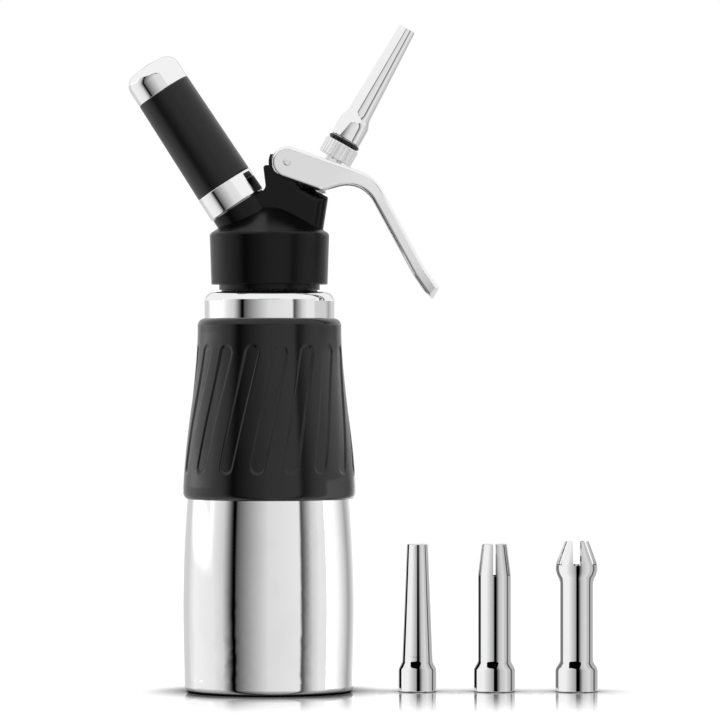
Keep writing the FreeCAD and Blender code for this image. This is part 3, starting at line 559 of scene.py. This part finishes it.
nozzle_skin = bpy.data.objects.new("nozzle_skin", nozzle_mesh)
bpy.context.scene.collection.objects.link(nozzle_skin)
nozzle_mesh.materials.append(polished_tips)
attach(nozzle_skin, "nozzle")
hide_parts("nozzle")

# --- Cards round the spare tips -------------------------------------------------------------------
# A bent card of white, grey and black stands close round the front of each small tip, with a black flap
# over its flare. Only polish less than card_sees away sees them, and the bent part hides again from what is
# nearer than too_close. They draw the bright left side, the dark lines down the middle and near the edges,
# and the dark spot on the flare. Their rear ends stand just off the floor.
card_radius = 0.017
bent_from = card_radius - 0.0003
card_height = 0.08
card_reach = math.radians(126)
card_sees = 0.02
too_close = 0.007
rear_bearing = math.radians(94)
rear_rise = 0.0012
far_left = 0.3
flap_height = 0.0165
flap = [(-0.0054, -0.0065), (0.0034, -0.007), (0.0032, -0.0105), (0.0004, -0.017), (-0.0075, -0.0105)]
card_tones = [
    (-88, 1.0), (-46, 1.0), (-5, 0.4), (-3, 0.0), (9, 0.0), (24, 0.6), (50, 0.8), (60, 0.6), (73, 0.6),
    (77, 0.1), (84, 0.1), (90, 0.5), (126, 0.5),
]


def card_paint(name):
    """A new material for a card, and the places on the card."""
    paint = bpy.data.materials.new(name)
    paint.use_nodes = True
    paint.node_tree.nodes.clear()
    return paint, Tap(paint.node_tree).node("TexCoord", None, None, "Object")


def show_inside(where, tone, unseen):
    """The card shines by its tone on the inside, and is clear from outside and where unseen is 1."""
    outside = where.node("NewGeometry", None, None, "Backfacing").maths("MAXIMUM", unseen)
    painted = where.node("Emission", None, {"Color": tone})
    clear = where.node("BsdfTransparent", None, {"Color": (1, 1, 1, 1)})
    shown = where.node("MixShader", None, {0: outside, 1: painted, 2: clear})
    where.node("OutputMaterial", None, {"Surface": shown})


def card_in_polish(name, mesh, paint):
    """The card itself. It shows in reflections only, and casts no shadow."""
    mesh.materials.append(paint)
    card = bpy.data.objects.new(name, mesh)
    card.visible_camera = False
    card.visible_diffuse = False
    card.visible_transmission = False
    card.visible_shadow = False
    bpy.context.scene.collection.objects.link(card)
    return card


def tip_card(name, edge_tone):
    """The bent card and its flap round one tip. edge_tone is how pale its line near the left edge is."""
    low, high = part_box(name)
    tube = bmesh.new()
    bmesh.ops.create_cone(
        tube, segments=144, radius1=card_radius, radius2=card_radius, depth=card_height, cap_ends=False)
    bmesh.ops.translate(tube, vec=(0, 0, card_height / 2), verts=tube.verts)
    away = [vert for vert in tube.verts if abs(math.atan2(vert.co.x, -vert.co.y)) > card_reach]
    bmesh.ops.delete(tube, geom=away, context="VERTS")
    for vert in tube.verts:
        if vert.co.z < card_height / 2 and abs(math.atan2(vert.co.x, -vert.co.y)) > rear_bearing:
            vert.co.z = rear_rise
    bmesh.ops.reverse_faces(tube, faces=tube.faces)
    tube.faces.new([tube.verts.new((x, y, flap_height)) for x, y in flap])
    mesh = bpy.data.meshes.new("card_" + name)
    tube.to_mesh(mesh)
    tube.free()
    paint, where = card_paint("card_" + name)
    aside, ahead = split(where, 2)
    bearing = aside.maths("ARCTAN2", ahead * -1) / (2 * math.pi) + 0.5
    tones = [(-126, far_left), (-115, far_left), (-112, edge_tone), (-91, edge_tone)] + card_tones
    bent = (aside * aside + ahead * ahead).maths("GREATER_THAN", bent_from ** 2)
    run = where.node("LightPath", None, None, "Ray Length")
    unseen = run.maths("GREATER_THAN", card_sees).maths("MAXIMUM", run.maths("LESS_THAN", too_close) * bent)
    show_inside(where, by_bearing(bearing, tones) * bent, unseen)
    card = card_in_polish("card_" + name, mesh, paint)
    card.location = ((low.x + high.x) / 2, 0, 0)


for name, edge_tone in (("tip_straight", 0.0), ("tip_star", 0.0), ("tip_tulip", 0.2)):
    tip_card(name, edge_tone)

# --- Flag beside the bottle -----------------------------------------------------------------------
# A grey flag stands between the bottle and the tips, so that the bottle's polish doesn't show them. It
# carries on the tones of the studio's own cards that it hides: each is painted where a ray to it, off the
# bottle's side, meets the flag. Only polish within flag_sees sees it.
flag_x = 0.05
flag_y = 0.018
flag_side = 0.1
flag_span = 0.2
flag_sees = 0.08
flag_hides = (95, 175)
bottle_radius = 0.039
flag_tones = []
for card_bearing, tone in cards:
    if flag_hides[0] < card_bearing < flag_hides[1]:
        turn = math.radians(card_bearing / 2)
        run = (flag_x - bottle_radius * math.sin(turn)) / math.sin(2 * turn)
        flag_tones.append((-bottle_radius * math.cos(turn) - run * math.cos(2 * turn), tone))
flag_mesh = bpy.data.meshes.new("flag")
flag = bmesh.new()
bmesh.ops.create_grid(flag, x_segments=1, y_segments=1, size=0.5)
bmesh.ops.rotate(flag, cent=(0, 0, 0), matrix=Matrix.Rotation(-math.pi / 2, 3, "Y"), verts=flag.verts)
bmesh.ops.transform(flag, matrix=Matrix.Diagonal((1, flag_side, flag_side, 1)), verts=flag.verts)
bmesh.ops.translate(flag, vec=(flag_x, flag_y, flag_side / 2), verts=flag.verts)
flag.to_mesh(flag_mesh)
flag.free()
flag_paint, where = card_paint("flag")
along = where.node("SeparateXYZ", None, {0: where}, 1) / flag_span + 0.5
tone = curve(along, [(y / flag_span + 0.5, tone) for y, tone in flag_tones])
from_afar = where.node("LightPath", None, None, "Ray Length").maths("GREATER_THAN", flag_sees)
show_inside(where, tone, from_afar)
flag_card = card_in_polish("flag", flag_mesh, flag_paint)

# --- Charger holder -------------------------------------------------------------------------------
# A chromed tube with a bright ring at its foot and a domed end, closed round the charger.
# Chrome is a clean mirror, with only hair lines from handling.
chrome, shader, where = finish("polished_chrome", 1.0)
hair = ramp(grain(where, 160.0, 6.0, (1, 9, 2)), 0.62, 0.7)
feed(shader, Base_Color=shade((0.885, 0.885, 0.89), (0.86, 0.86, 0.865), hair))
feed(shader, Roughness=0.03 + hair * 0.04)
dress(["holder_shell"], chrome)

# --- Holder's grip --------------------------------------------------------------------------------
# A matt black sleeve, moulded with a fine spark grain and pushed on the tube up to the dome.
grip, shader, where = finish("matt_black_grip", 0.0, IOR=1.45)
spark = grain(where, 2200.0, 3.0)
handled = grain(where, 50.0, 4.0)
feed(shader, Base_Color=shade((0.0004, 0.0004, 0.0005), (0.0009, 0.0009, 0.001), handled))
feed(shader, Roughness=0.27 + handled * 0.05 + spark * 0.03)
feed(shader, Normal=relief(spark, 0.00001, 0.3))
dress(["holder_grip"], grip)

# --- Charger --------------------------------------------------------------------------------------
# A drawn steel cartridge for 8 g of gas, zinc plated, with a pale spangle in its tone and gloss.
zinc, shader, where = finish("zinc_plated_steel", 1.0)
spangle = grain(where, 300.0, 4.0)
feed(shader, Base_Color=shade((0.64, 0.65, 0.67), (0.76, 0.76, 0.77), spangle))
feed(shader, Roughness=0.24 + spangle * 0.14)
dress(["charger"], zinc)
